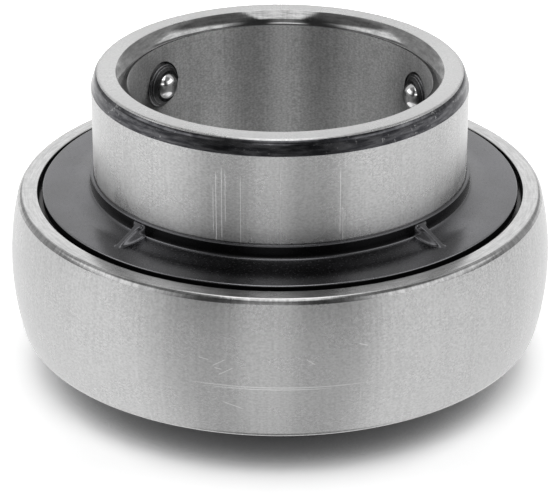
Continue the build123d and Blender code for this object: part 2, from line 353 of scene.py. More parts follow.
class Signal:
    """What a node puts out. Sums, products and the methods below add their node to the same tree."""

    def __init__(self, socket):
        self.socket = socket
        self.tree = socket.id_data

    def calc(self, operation, *values):
        made = add_node(self.tree, "ShaderNodeMath", dict(enumerate((self, *values))), operation=operation)
        return Signal(made.outputs[0])

    def __add__(self, other):
        return self.calc("ADD", other)

    def __sub__(self, other):
        return self.calc("SUBTRACT", other)

    def __mul__(self, other):
        return self.calc("MULTIPLY", other)

    def __truediv__(self, other):
        return self.calc("DIVIDE", other)

    def __abs__(self):
        return self.calc("ABSOLUTE")

    def ramp(self, low, high, first=0.0, last=1.0, smooth=True):
        """The value carried from low..high to first..last and held there outside."""
        made = add_node(self.tree, "ShaderNodeMapRange", {
            "Value": self, "From Min": low, "From Max": high, "To Min": first, "To Max": last,
        }, interpolation_type="SMOOTHSTEP" if smooth else "LINEAR")
        return Signal(made.outputs["Result"])

    def blend(self, first, second):
        """The first number where this is 0 and the second where it is 1."""
        made = add_node(self.tree, "ShaderNodeMix", {0: self, 2: first, 3: second}, data_type="FLOAT")
        return Signal(made.outputs[0])

    def mix(self, first, second):
        """The first colour where this is 0 and the second where it is 1."""
        made = add_node(self.tree, "ShaderNodeMix", {0: self, 6: first, 7: second}, data_type="RGBA")
        return Signal(made.outputs[2])


def fill(node, inputs):
    """Links a node's sockets, by name or number, to signals, or gives them plain values."""
    for name, value in inputs.items():
        if isinstance(value, Signal):
            value.tree.links.new(value.socket, node.inputs[name])
        else:
            node.inputs[name].default_value = value


def add_node(tree, kind, inputs=None, **settings):
    """Adds a node, sets its properties and fills its sockets."""
    made = tree.nodes.new(kind)
    for name, value in settings.items():
        setattr(made, name, value)
    fill(made, inputs or {})
    return made


def output(tree, kind, name=0, inputs=None, **settings):
    """One output of a new node, as a signal."""
    return Signal(add_node(tree, kind, inputs, **settings).outputs[name])


def new_group(name, inputs, outputs):
    """A shader node group with number inputs (name: default) and outputs. Returns its tree, its inputs
    as signals and the node that takes its outputs."""
    tree = bpy.data.node_groups.new(name, "ShaderNodeTree")
    for socket, default in inputs.items():
        made = tree.interface.new_socket(name=socket, in_out="INPUT", socket_type="NodeSocketFloat")
        made.default_value = default
    for socket in outputs:
        tree.interface.new_socket(name=socket, in_out="OUTPUT", socket_type="NodeSocketFloat")
    inside = tree.nodes.new("NodeGroupInput")
    return tree, [Signal(inside.outputs[socket]) for socket in inputs], tree.nodes.new("NodeGroupOutput")


def place_group(tree, name, inputs):
    """The outputs of a node group that is placed with these input values."""
    made = add_node(tree, "ShaderNodeGroup", node_tree=bpy.data.node_groups[name])
    fill(made, inputs)
    return [Signal(socket) for socket in made.outputs]


def nicks_mask(tree, scale, amount):
    return place_group(tree, "Nicks", {"Scale": scale, "Amount": amount})[0]


def object_place(tree):
    """Where a point lies on its piece."""
    return output(tree, "ShaderNodeTexCoord", "Object")


def split(vector):
    """The x, y and z of a vector."""
    return [Signal(part) for part in add_node(vector.tree, "ShaderNodeSeparateXYZ", {0: vector}).outputs]


def combine(x, y, z):
    """The vector of three parts, of which the last is a signal."""
    return output(z.tree, "ShaderNodeCombineXYZ", 0, {0: x, 1: y, 2: z})


def round_coordinates(tree):
    """Object coordinates as (unit x, unit y, distance from the axis, height)."""
    x, y, z = split(object_place(tree))
    radius = (x * x + y * y).calc("SQRT")
    safe = radius.calc("MAXIMUM", 1e-6)
    return x / safe, y / safe, radius, z


def noise(vector, scale, detail=2.0, roughness=0.5):
    return output(vector.tree, "ShaderNodeTexNoise", "Fac", {
        "Vector": vector, "Scale": scale, "Detail": detail, "Roughness": roughness})


def make_grain_group():
    """Grinding lines that run round the axis. Noise is read at (unit x, unit y) times Spread and at
    (height plus radius) times Lines, so it changes fast across the lines and slowly along them.
    Streaks change round the axis and hardly along it."""
    tree, (lines, spread, streaks), outside = new_group(
        "Ground grain", {"Lines": 3600.0, "Spread": 60.0, "Streaks": 70.0}, ["Lines", "Streaks", "Cloud"])
    x, y, radius, z = round_coordinates(tree)
    fill(outside, {
        "Lines": noise(combine(x * spread, y * spread, (z + radius) * lines), 1.0, 3.0, 0.6),
        "Streaks": noise(combine(x * streaks, y * streaks, (z + radius) * 30.0), 1.0, 3.0, 0.55),
        "Cloud": noise(combine(x * 5.0, y * 5.0, z * 160.0), 1.0, 4.0, 0.6),
    })


def make_nick_group():
    """Small scattered nicks: the cells of a noise that rise above a threshold."""
    tree, (scale, amount), outside = new_group("Nicks", {"Scale": 1500.0, "Amount": 0.3}, ["Mask"])
    where = object_place(tree)
    threshold = amount * noise(where, 160.0, 2.0, 0.5) * -1.0 + 0.86
    fill(outside, {"Mask": (noise(where, scale, 3.0, 0.65) - threshold).ramp(0.0, 0.05)})


def make_line_group():
    """One fine upright line on a round face: one inside Half width of Angle and between Low and High,
    with soft ends and a broken strength along its length."""
    tree, (angle, half_width, low, high), outside = new_group(
        "Upright line", {"Angle": 0.0, "Half width": 0.002, "Low": -1.0, "High": 1.0}, ["Mask"])
    x, y, radius, z = round_coordinates(tree)
    turn = x.calc("ARCTAN2", y * -1.0)
    soft_end = 1.5 * MM
    thin = abs(turn - angle).ramp(half_width, half_width * 0.4)
    within = z.ramp(low, low + soft_end) * z.ramp(high, high - soft_end)
    broken = noise(combine(0.0, turn, z), 900.0, 2.0, 0.6).ramp(0.35, 0.6, 0.25, 1.0)
    fill(outside, {"Mask": thin * broken * within})


def make_scratch_group():
    """One short slanting scratch seen from the front: a soft line from (Start x, Start z) to (End x, End z)
    in the plane of x and height."""
    tree, (start_x, start_z, end_x, end_z, half_width), outside = new_group(
        "Slanting scratch",
        {"Start x": 0.0, "Start z": 0.0, "End x": 0.01, "End z": 0.01, "Half width": 0.0001}, ["Mask"])
    x, y, z = split(object_place(tree))
    run_x, run_z = end_x - start_x, end_z - start_z
    off_x, off_z = x - start_x, z - start_z
    length_of_run = (run_x * run_x + run_z * run_z).calc("SQRT")
    along = (off_x * run_x + off_z * run_z) / (length_of_run * length_of_run)
    across = abs((off_x * run_z - off_z * run_x) / length_of_run)
    within = along.ramp(0.0, 0.15) * along.ramp(1.0, 0.8)
    fill(outside, {"Mask": across.ramp(half_width, 0.0) * within * y.calc("LESS_THAN", 0.0)})


# Materials


def new_material(name):
    """The node tree of a new material and its Principled shader."""
    made = bpy.data.materials.new(name)
    made.use_nodes = True
    return made.node_tree, made.node_tree.nodes["Principled BSDF"]


def finish_shader(shader, base, rough, metallic, height, relief):
    """Gives a shader its colour, roughness and share of metal, and a bump of relief millimetres."""
    bump = output(height.tree, "ShaderNodeBump", 0, {
        "Height": height, "Distance": relief * MM, "Strength": 1.0})
    fill(shader, {"Base Color": base, "Roughness": rough, "Metallic": metallic, "Normal": bump})


def shade(colour, factor, tint=(1.0, 1.0, 1.0)):
    """A colour made lighter or darker, as four numbers for a socket."""
    return tuple(min(c * factor * t, 1.0) for c, t in zip(colour, tint)) + (1.0,)


def ground_steel(name, lightness=1.0, roughness=0.28, stretch=1.0, lines=3600.0, spread=70.0,
                 relief=0.013, contrast=0.1, marks=()):
    """Ground bearing steel: fine lines round the axis, faint streaks, clouding and named marks, with the
    highlights stretched across the lines."""
    tree, shader = new_material(name)
    colour = colours().ground_steel
    grain, streaks, cloud = place_group(tree, "Ground grain", {"Lines": lines, "Spread": spread})
    tone = grain * 0.6 + (streaks * 0.15 + cloud * 0.25)
    base = tone.ramp(0.34, 0.66).mix(
        shade(colour, lightness * (1 - contrast)), shade(colour, lightness * (1 + contrast)))
    rough = cloud.ramp(0.3, 0.7, roughness - 0.03, roughness + 0.03)
    height = grain * 0.5 + streaks * 0.8
    if marks:
        wear = nicks_mask(tree, 1400.0, 0.0)
        for group, values, strength in marks:
            wear = wear.calc("MAXIMUM", place_group(tree, group, values)[0] * strength)
        base = wear.mix(base, shade(colour, 1.85))
        rough = rough + wear * 0.1
        height = height - wear * 0.6
    tangent = output(tree, "ShaderNodeTangent", direction_type="RADIAL", axis="Z")
    fill(shader, {"Tangent": tangent, "Anisotropic": stretch, "Anisotropic Rotation": 0.25})
    finish_shader(shader, base, rough, 1.0, height, relief)


def heat_scale(name):
    """The unground chamfers: a glossy blue-black scale with drawn streaks and lighter rubbed spots."""
    tree, shader = new_material(name)
    colour = colours().scale
    grain, streaks, cloud = place_group(tree, "Ground grain", {"Lines": 2600.0, "Spread": 9.0})
    base = grain.ramp(0.35, 0.7).mix(shade(colour, 0.45, (0.97, 0.98, 1.04)), shade(colour, 1.4))
    base = (nicks_mask(tree, 1500.0, 0.42) * 0.6).mix(base, (0.4, 0.4, 0.4, 1.0))
    finish_shader(shader, base, cloud.ramp(0.3, 0.7, 0.14, 0.3), 1.0, grain, 0.012)


def slinger_coating(name):
    """Dark coated sheet steel: smooth, semi-gloss, with a fine tooth and a few light rubs. Painted shade
    darkens the upright walls of the collar and the rim, and a painted highlight lightens the top of the rim's
    round."""
    tree, shader = new_material(name)
    colour = colours().coating
    where = object_place(tree)
    tooth = noise(where, 2600.0, 3.0, 0.6)
    base = noise(where, 90.0, 3.0, 0.55).ramp(0.3, 0.7).mix(
        shade(colour, 0.93), shade(colour, 1.07, (1.0, 1.0, 1.02)))
    base = (nicks_mask(tree, 1200.0, 0.1) * 0.5).mix(base, shade(colour, 2.2))
    x, y, radius, z = round_coordinates(tree)
    # Painted shade: the collar's upright wall and the rim's outer wall are darkened to a fifth below.
    collar = radius.ramp(31.56 * MM, 31.52 * MM) * abs(z).ramp(COLLAR_TOP - 0.25 * MM, COLLAR_TOP - 0.35 * MM)
    rim = radius.ramp(SLINGER_RADIUS - 0.04 * MM, SLINGER_RADIUS - 0.01 * MM)
    # Painted highlight: the top of the rim's round is lightened almost twofold.
    edge = (radius.ramp(SLINGER_RADIUS - 0.2 * MM, SLINGER_RADIUS - 0.13 * MM)
            * abs(z).ramp(COLLAR_TOP - 3.3 * MM, COLLAR_TOP - 3.2 * MM))
    base = edge.mix(base, shade(colour, 1.9))
    base = collar.calc("MAXIMUM", rim).mix(base, shade(colour, 0.2))
    finish_shader(shader, base, tooth.ramp(0.3, 0.7, 0.2, 0.28), 1.0, tooth, 0.002)


def grained(name, colour, grain, shades, rough, metallic, relief, oil=None, nicks=None):
    """A finish with one fine grain: noise of (scale, detail, roughness) moves the colour between two
    shades and the roughness between two values. Oil is a second noise that takes over the roughness,
    and nicks are (scale, amount, shade). Returns the shader."""
    tree, shader = new_material(name)
    where = object_place(tree)
    fine = noise(where, *grain)
    base = fine.ramp(0.3, 0.7).mix(*(shade(colour, factor) for factor in shades))
    if nicks:
        base = nicks_mask(tree, *nicks[:2]).mix(base, shade(colour, nicks[2]))
    dull = noise(where, *oil) if oil else fine
    finish_shader(shader, base, dull.ramp(0.3, 0.7, *rough), metallic, fine, relief)
    return shader


def black_oxide(name, lightness=1.0):
    """Black oxide on the set screws, rubbed a little brighter where it is proud."""
    grained(name, colours().black_oxide, (3000.0, 3.0, 0.6), (lightness * 0.7, lightness * 1.5),
            (0.25, 0.42), 0.7, 0.004, nicks=(1800.0, 0.3, 6.0))


def polished_steel(name, lightness, roughness):
    """Polished ball steel with a faint haze."""
    grained(name, colours().ground_steel, (500.0, 3.0, 0.55), (lightness * 0.95, lightness * 1.05),
            (roughness, roughness + 0.05), 1.0, 0.0008)


def pressed_sheet(name, lightness):
    """Bright pressed sheet for the cage and its rivets: drawn marks and a dull sheen."""
    grained(name, colours().ground_steel, (900.0, 4.0, 0.65), (lightness * 0.88, lightness * 1.08),
            (0.28, 0.44), 1.0, 0.004, oil=(120.0, 2.0, 0.5))


def matt_black(name, lightness=1.0, gloss=0.5):
    """Nearly black, matt and finely grained: the moulded rubber, and the painted shade on the outer wall of
    the slinger's rim.
    """
    shader = grained(name, colours().rubber, (2200.0, 4.0, 0.6), (lightness * 0.8, lightness * 1.3),
                     (0.5, 0.65), 0.0, 0.01)
    fill(shader, {"Specular IOR Level": gloss})


def land_marks():
    """Upright rub lines on the inner ring's land: angle from the front, half width, low and high end."""
    lines = (
        (-18.7, 0.09, 14.0, 27.5), (-17.0, 0.09, 15.0, 28.5), (-15.9, 0.07, 18.0, 28.0),
        (-11.4, 0.09, 14.5, 27.0), (0.1, 0.07, 14.0, 29.0), (17.6, 0.09, 16.0, 28.0),
        (-19.6, 0.07, 16.0, 25.0), (18.4, 0.06, 15.0, 22.0),
    )
    return [("Upright line", {"Angle": math.radians(angle), "Half width": half_width * MM / LAND_RADIUS,
                              "Low": low * MM, "High": high * MM}, 1.0)
            for angle, half_width, low, high in lines]


def sphere_marks():
    """Handling scratches low on the front of the outer ring, in millimetres of x and height."""
    scratches = (
        (-10.5, 0.9, -8.2, 2.3), (-9.6, -0.6, -7.0, 1.0), (-12.6, 2.2, -10.8, 1.9),
        (-10.1, 0.7, -8.9, 0.5), (-15.0, -2.2, 15.0, -2.4), (-12.0, -2.6, 9.0, -2.7),
        (-9.0, -5.2, -5.5, -6.4), (4.0, 2.5, 5.5, 1.5), (12.0, 4.5, 13.6, 3.9),
    )
    sockets = ("Start x", "Start z", "End x", "End z", "Half width")
    return [("Slanting scratch", {socket: value * MM for socket, value in zip(sockets, (*ends, 0.14))}, 0.75)
            for ends in scratches]


# Pieces


def slinger_section():
    """The slinger's section above its underside, as (radius, height, share): share runs from 0 where
    a rib leaves the collar to 1 where it dies out on the disc, and is -1 elsewhere."""
    top = 12.4 * MM
    thickness = 0.8 * MM
    collar_radius = 31.5 * MM
    rise = 0.7 * MM
    run = 3.5 * MM
    rim_depth = 1.5 * MM
    rim_thickness = 0.6 * MM
    rib_top = 14.95 * MM
    rib_end = 36.4 * MM
    head = rounded_section(
        [(collar_radius + run, top - thickness, 0), (LAND_RADIUS, top + rise - thickness, 0),
         (LAND_RADIUS, COLLAR_TOP, 0.12 * MM), (collar_radius, COLLAR_TOP, 0.26 * MM),
         (collar_radius, rib_top, 0)])
    round_reach = 0.3 * MM
    wall = np.stack([np.full(10, collar_radius), np.linspace(rib_top, top + rise + round_reach, 10)], axis=1)
    t = np.linspace(0, 1, 6)[1:-1, None]
    foot_end = np.array([collar_radius + round_reach, top + rise * (1 - round_reach / run) ** 2])
    foot = ((1 - t) ** 2 * np.array([collar_radius, top + rise + round_reach])
            + 2 * t * (1 - t) * np.array([collar_radius, top + rise]) + t**2 * foot_end)
    disc_radius = np.linspace(collar_radius + round_reach, rib_end, 26)
    slope = np.clip(1 - (disc_radius - collar_radius) / run, 0, 1)
    disc = np.stack([disc_radius, top + rise * slope**2], axis=1)
    rim = rounded_section(
        [(rib_end + 0.4 * MM, top, 0), (SLINGER_RADIUS, top, 0.26 * MM),
         (SLINGER_RADIUS, top - rim_depth, 0.12 * MM),
         (SLINGER_RADIUS - rim_thickness, top - rim_depth, 0.12 * MM),
         (SLINGER_RADIUS - rim_thickness, top - thickness, 0.3 * MM)], steps=6)
    ribbed = np.concatenate([wall, foot, disc])
    step = np.linalg.norm(np.diff(ribbed, axis=0), axis=1)
    share = np.concatenate([[0], np.cumsum(step)]) / step.sum()
    section = np.concatenate([head[:-1], ribbed, rim])
    shares = np.concatenate([np.full(len(head) - 1, -1.0), share, np.full(len(rim), -1.0)])
    return section, shares, (np.array([collar_radius, rib_top]), np.array([rib_end, top]))


def slinger_angles():
    """Angles round the slinger, close together at the four ribs."""
    offsets = np.concatenate([
        np.linspace(-45, -5, 41)[:-1], np.linspace(-5, 5, 91), np.linspace(5, 45, 41)[1:-1]])
    return np.radians(np.concatenate([45 + 90 * rib + offsets for rib in range(4)]))


def slinger_surface(upper):
    """The slinger's grid. The section is turned round the axis, and at each rib a point of the corner
    between collar and disc moves towards the straight line that closes the corner, by a share that
    falls from 1 on the rib's crest to 0 at its sides."""
    section, share, (head, foot) = slinger_section()
    angle = slinger_angles()
    rib = np.radians(45) + np.round((angle - np.radians(45)) / np.radians(90)) * np.radians(90)
    off = np.abs(angle - rib)
    place = np.clip(share, 0, 1)[:, None]
    across = off[None] * section[:, 0, None]
    crest = (0.3 * (1 - place) + 0.25 * place) * MM
    base = (1.7 * (1 - place) + 0.8 * place) * MM
    t = np.clip((base - across) / (base - crest), 0, 1)
    lift = t * t * (3 - 2 * t) * (share[:, None] >= 0)
    line = head[None] * (1 - place) + foot[None] * place
    radius = section[:, 0, None] + (line[:, 0, None] - section[:, 0, None]) * lift
    height = section[:, 1, None] + (line[:, 1, None] - section[:, 1, None]) * lift
    grid = np.stack([radius * np.cos(angle), radius * np.sin(angle), height], axis=-1)
    if not upper:
        grid[..., 2] *= -1
    return grid


def build_slinger(name, node, upper):
    grid = slinger_surface(upper)
    faces, row, column = grid_faces(grid.shape[0], grid.shape[1])
    # The faces of the rim's outer wall take a near-black finish that paints their shade.
    edge = np.linalg.norm(grid[:, 0, :2], axis=1) > SLINGER_RADIUS - 1e-7
    zones = (edge & np.roll(edge, -1))[row]
    make_piece(name, grid, faces, zones, ("slinger_coating", "thick_coating"),
               "shaft_side", node)


def zone_index(section, rules):
    """The finish of each row: the first rule whose test on the row's middle (radius, height) holds."""
    middle = (section + np.roll(section, -1, axis=0)) / 2
    zones = np.zeros(len(section), int)
    for index, test in reversed(list(enumerate(rules))):
        zones[test(middle[:, 0], middle[:, 1])] = index
    return zones


def build_inner_ring():
    values = sizes()
    bore = values.bore_radius
    race_bottom = values.pitch_radius - values.ball_radius - BALL_PLAY
    race = race_arc(race_bottom + values.race_radius, values.race_radius, LAND_RADIUS, -1)
    top = LONG_SIDE
    foot = -SHORT_SIDE
    t = np.linspace(0, 0.93, 14)[:, None]
    mouth = ((1 - t) ** 2 * np.array([bore, top - 2.15 * MM]) + t**2 * np.array([bore + 1.85 * MM, top])
             + 2 * t * (1 - t) * np.array([bore + 0.16 * MM, top - 1.22 * MM]))
    upper = rounded_section([
        (bore, foot + 1.2 * MM, 0.15 * MM), *((r, z, 0) for r, z in mouth),
        (bore + 1.85 * MM, top, 0.12 * MM), (29.7 * MM, top, 0.3 * MM),
        (30.28 * MM, top - 0.55 * MM, 0.3 * MM), (LAND_RADIUS, top - 2.49 * MM, 0.12 * MM),
        (LAND_RADIUS, foot + 1.4 * MM, 0.2 * MM), (LAND_RADIUS - 1.0 * MM, foot, 0.15 * MM),
        (bore + 1.2 * MM, foot, 0.15 * MM)])
    rise = 5.4 * MM
    window = np.linspace(values.screw_height - rise, values.screw_height + rise, 13)
    bore_end = int(np.argmax((np.abs(upper[:, 0] - bore) < 1e-7) & (upper[:, 1] > 0)))
    land_end = int(np.flatnonzero((np.abs(upper[:, 0] - LAND_RADIUS) < 1e-7) & (upper[:, 1] > 0))[-1])
    section = np.concatenate([
        upper[:bore_end],
        np.stack([np.full(13, bore), window], axis=1),
        upper[bore_end:land_end + 1],
        np.stack([np.full(13, LAND_RADIUS), window[::-1]], axis=1),
        race[::-1],
        upper[land_end + 1:],
    ])
    inner_rows = (bore_end, bore_end + 12)
    first = land_end + 1 + 13
    outer_rows = (first + 12, first)
    holes = [(math.radians(angle), values.screw_height, values.screw_hole_radius, outer_rows, inner_rows, 25)
             for _, angle, _ in SET_SCREWS]
    vertices, faces, rows = bored_ring(section, values.ring_columns, holes, threaded_wall)
    tolerance = 0.05 * MM
    rules = [
        lambda r, z: (r < bore + 0.12 * MM) & (z < top - 2.14 * MM),
        lambda r, z: (z > top - tolerance) & (r > bore),
        lambda r, z: (z > top - 2.47 * MM) & (r > 29.9 * MM),
        lambda r, z: (r < bore + 1.87 * MM) & (z > 0),
        lambda r, z: ((z < foot + 1.39 * MM) & (z > foot + tolerance)
                      & ((r > 29.8 * MM) | (r < bore + 1.2 * MM))),
        lambda r, z: (z < foot + tolerance),
        lambda r, z: np.abs(z) < 4.95 * MM,
        lambda r, z: r > 0,
    ]
    finish = np.array([0, 1, 2, 6, 2, 1, 3, 4])[zone_index(section, rules)]
    zones = np.where(rows >= 0, finish[rows], 5)
    names = ("honed_bore", "ground_face", "heat_scale", "polished_race", "ground_land", "cut_thread",
             "bore_chamfer")
    make_piece("inner_ring_ground", vertices, faces, zones, names,
               "shaft_side", "inner_ring")


def build_outer_ring():
    values = sizes()
    shoulder = 39.12 * MM
    race_bottom = values.pitch_radius + values.ball_radius + BALL_PLAY
    race = race_arc(race_bottom - values.race_radius, values.race_radius, shoulder, 1)
    half = OUTER_HALF_WIDTH
    bevel = 11.14 * MM
    groove = 40.55 * MM
    seat = 40.1 * MM
    mouth = 40.3 * MM
    face = 42.8 * MM
    side = rounded_section([
        (shoulder, 5.2 * MM, 0), (shoulder, 8.35 * MM, 0.1 * MM), (groove, 8.6 * MM, 0.1 * MM),
        (groove, 9.8 * MM, 0.05 * MM), (seat, 10.0 * MM, 0.08 * MM), (seat, 10.7 * MM, 0.1 * MM),
        (mouth, 10.9 * MM, 0.1 * MM), (mouth, half, 0.2 * MM), (face, half, 0.16 * MM),
        (face + 0.42 * MM, half - 0.3 * MM, 0.2 * MM),
        (math.sqrt(SPHERE_RADIUS**2 - bevel**2), bevel, 0.08 * MM), (SPHERE_RADIUS * 0.98, 8 * MM, 0)])[:-1]
    height = np.concatenate([np.linspace(bevel - 0.3 * MM, -4.9 * MM, 28), np.linspace(-5.1, -8.6, 8) * MM,
                             np.linspace(-8.8 * MM, -bevel + 0.3 * MM, 7)])
    sphere = np.stack([np.sqrt(SPHERE_RADIUS**2 - height**2), height], axis=1)
    mirrored = side[::-1] * np.array([1, -1])
    shoulder_rows = np.stack([np.full(8, shoulder), np.linspace(-8.25, -5.35, 8) * MM], axis=1)
    section = np.concatenate([race, side, sphere, mirrored[:-1], shoulder_rows])
    sphere_start = len(race) + len(side)
    outer_rows = (sphere_start + 35, sphere_start + 28)
    inner_start = len(section) - 8
    inner_rows = (inner_start, inner_start + 7)
    holes = [(math.radians(angle), -6.85 * MM, values.grease_hole_radius, outer_rows, inner_rows, 4)
             for angle in (30, 150)]
    vertices, faces, rows = bored_ring(section, values.outer_columns, holes, plain_wall)
    rules = [
        lambda r, z: (np.abs(z) < 5.15 * MM) & (r < 42 * MM),
        lambda r, z: (np.abs(z) > half - 0.19 * MM) & (r < 42.9 * MM),
        # The recess inside the mouth takes steel darkened as painted shade.
        lambda r, z: (r < 40.7 * MM),
        lambda r, z: (np.abs(z) > bevel + 0.02 * MM),
        lambda r, z: r > 0,
    ]
    zones = np.where(rows >= 0, zone_index(section, rules)[rows], 2)
    names = ("polished_race", "ring_face", "turned_recess", "worn_bevel", "ground_sphere")
    make_piece("outer_ring_ground", vertices, faces, zones, names,
               "housing_side", "outer_ring")


def screw_place(points, angle, reach, height):
    """Carries points from the screw's own frame, whose Z runs outwards, to its place in the ring."""
    axis = np.array([math.cos(angle), math.sin(angle), 0])
    side = np.array([-math.sin(angle), math.cos(angle), 0])
    up = np.array([0, 0, 1.0])
    return (points[..., 0, None] * side + points[..., 1, None] * up
            + (points[..., 2, None] + reach) * axis + height * up)


def level_loop(radius, height, columns):
    """One level loop of points (radius, height) round an axis, where radius is one number or an array."""
    return np.stack([radius * np.ones(columns), np.full(columns, height)], axis=1)


def screw_grid(columns=144):
    """The set screw: a profile carried round its axis. On the thread the radius is a triangle wave of
    (height over pitch, less the turn), and in the socket it is that of a hexagon. Returns the loops and
    which of them are crests of the turning rings on the tip, which get a painted highlight."""
    pitch = sizes().thread_pitch
    turn = np.arange(columns) * 2 * math.pi / columns
    pocket_reach = TIP_BALL_RADIUS + 0.05 * MM
    ball_centre = TIP_BALL_RADIUS - TIP_BALL_STAND
    length = 8.2 * MM
    crest = 3.92 * MM
    depth = 0.55 * MM
    ring_pitch = 0.32 * MM
    tip_radius = 2.75 * MM
    socket_depth = 3.0 * MM
    mouth = math.acos((0.02 * MM - ball_centre) / pocket_reach)
    polar = np.linspace(0.0, mouth, 14)
    pocket = np.stack([pocket_reach * np.sin(polar), ball_centre + pocket_reach * np.cos(polar)], axis=1)
    rim = rounded_section([
        (2.3 * MM, 0.1 * MM, 0), (2.38 * MM, 0.0, 0.04 * MM), (tip_radius, 0.0, 0.08 * MM),
        (3.0 * MM, 0.25 * MM, 0)])
    loops = [level_loop(r, h, columns) for r, h in (*pocket, *rim[1:])]
    heights = np.concatenate([np.linspace(0.28, 1.2, 32), np.linspace(1.25, 7.7, 94)]) * MM
    for h in heights:
        wave = np.abs(((h / pitch - turn / (2 * math.pi)) % 1) * 2 - 1)
        wave = np.clip(wave * 1.25 - 0.1, 0, 1)
        ring = 0.09 * MM * abs(((h / ring_pitch) % 1) * 2 - 1) * (h < 1.2 * MM)
        limit = min(crest, tip_radius + h, crest - max(0, h - (length - 0.9 * MM))) - ring
        loops.append(level_loop(np.minimum(crest - depth * wave, limit), h, columns))
    back = rounded_section([
        (3.5 * MM, length - 0.42 * MM, 0), (3.15 * MM, length, 0.12 * MM), (2.5 * MM, length, 0)])
    loops += [level_loop(r, h, columns) for r, h in back]
    flats = 2.0 * MM
    hexagon = flats / np.cos((turn + math.pi / 6) % (math.pi / 3) - math.pi / 6)
    for down, grow in ((0.0, 1.09), (0.12 * MM, 1.0), (socket_depth / 2, 1.0), (socket_depth, 1.0)):
        loops.append(level_loop(hexagon * grow, length - down, columns))
    loops += [level_loop(flats * share, length - socket_depth - 0.5 * MM * (1 - share), columns)
              for share in (0.9, 0.5, 0.02)]
    radius, height = np.moveaxis(np.array(loops), -1, 0)
    middle = height[:, 0]
    phase = np.abs(((middle / ring_pitch) % 1) * 2 - 1)
    # The crests of the turning rings, which get the painted highlight.
    rubbed = (phase < 0.3) & (middle > 0.2 * MM) & (middle < 1.25 * MM)
    return np.stack([radius * np.cos(turn), radius * np.sin(turn), height], axis=-1), rubbed


def capped_loft(grid):
    """Faces of a stack of loops whose first and last loops are closed by one point each."""
    loops, count = grid.shape[0], grid.shape[1]
    vertices = np.concatenate([grid.reshape(-1, 3), grid[0].mean(0)[None], grid[-1].mean(0)[None]])
    faces = [list(f) for f in loft_faces(loops, count)]
    first, last = loops * count, loops * count + 1
    end = (loops - 1) * count
    faces += [[first, (k + 1) % count, k] for k in range(count)]
    faces += [[last, end + k, end + (k + 1) % count] for k in range(count)]
    return vertices, faces


def build_screws():
    height = sizes().screw_height
    grid, rubbed = screw_grid()
    polar = np.linspace(0, math.pi, 49)[1:-1, None]
    turn = np.linspace(0, 2 * math.pi, 97)[None, :-1]
    ball = TIP_BALL_RADIUS * np.stack([
        np.sin(polar) * np.cos(turn), np.sin(polar) * np.sin(turn),
        np.cos(polar) * np.ones_like(turn)], axis=-1)
    ball[..., 2] += TIP_BALL_RADIUS - TIP_BALL_STAND
    for letter, degrees, reach in SET_SCREWS:
        place = (math.radians(degrees), reach * MM, height)
        vertices, faces = capped_loft(grid)
        zones = np.zeros(len(faces))
        # Faces between crest loops take the painted highlight finish.
        zones[:(grid.shape[0] - 1) * grid.shape[1]] = np.repeat(rubbed[:-1], grid.shape[1])
        make_piece(f"set_screw_{letter}_threaded", screw_place(vertices, *place), faces, zones,
                   ("black_oxide", "rubbed_crest"),
                   f"screw_{letter}_turn", f"set_screw_{letter}")
        vertices, faces = capped_loft(ball)
        make_piece(f"set_screw_{letter}_tip_ball", screw_place(vertices, *place), faces, np.zeros(len(faces)),
                   ("polished_tip_ball",),
                   f"screw_{letter}_travel", f"set_screw_ball_{letter}")


# Operators


class OBJECT_OT_bearing_finishes(bpy.types.Operator):
    """Makes the shared node groups and every finish"""

    bl_idname = "object.bearing_finishes"
    bl_label = "Finishes"

    def execute(self, context):
        make_grain_group()
        make_nick_group()
        make_line_group()
        make_scratch_group()
        ground_steel("ground_land", 1.04, relief=0.018, contrast=0.17, marks=land_marks())
        ground_steel("ground_sphere", lines=3400.0, spread=100.0, relief=0.016, contrast=0.15,
                     marks=sphere_marks())
        ground_steel("ground_face", 0.97, 0.28, stretch=0.6, lines=3000.0, contrast=0.08)
        ground_steel("ring_face", 0.95, 0.22, stretch=0.6, lines=2600.0, spread=12.0, contrast=0.16)
        ground_steel("worn_bevel", 0.65, 0.2, stretch=0.4, lines=2200.0, spread=60.0, contrast=0.25)
        ground_steel("honed_bore", 1.02, 0.5, lines=3600.0, spread=60.0, contrast=0.28, relief=0.022)
        ground_steel("bore_chamfer", 0.54, 0.1, stretch=0.3, lines=1600.0, spread=12.0, relief=0.004,
                     contrast=0.25)
        # Painted shade: the recess inside the outer ring's mouth is steel darkened to a twentieth.
        ground_steel("turned_recess", 0.05, 0.4, stretch=0.3)
        ground_steel("cut_thread", 0.3, 0.4, stretch=0.0)
        polished_steel("polished_race", 1.1, 0.12)
        polished_steel("polished_ball", 1.2, 0.05)
        polished_steel("polished_tip_ball", 1.3, 0.05)
        heat_scale("heat_scale")
        slinger_coating("slinger_coating")
        black_oxide("black_oxide")
        # Painted highlight: the crests of the tip's turning rings are five times lighter, so they glint.
        black_oxide("rubbed_crest", 5.0)
        pressed_sheet("cage_sheet", 0.8)
        pressed_sheet("rivet_steel", 0.95)
        # Painted shade: the seal core's sheet is darkened nearly to black.
        pressed_sheet("seal_core_steel", 0.08)
        matt_black("seal_rubber")
        # Painted shade: near-black, almost glossless finish for the outer wall of the slinger's rim.
        matt_black("thick_coating", 0.08, 0.05)
        return {"FINISHED"}


class OBJECT_OT_bearing_rings(bpy.types.Operator):
    """Makes the outer and the inner ring"""

    bl_idname = "object.bearing_rings"
    bl_label = "Rings"

    def execute(self, context):
        build_outer_ring()
        build_inner_ring()
        return {"FINISHED"}


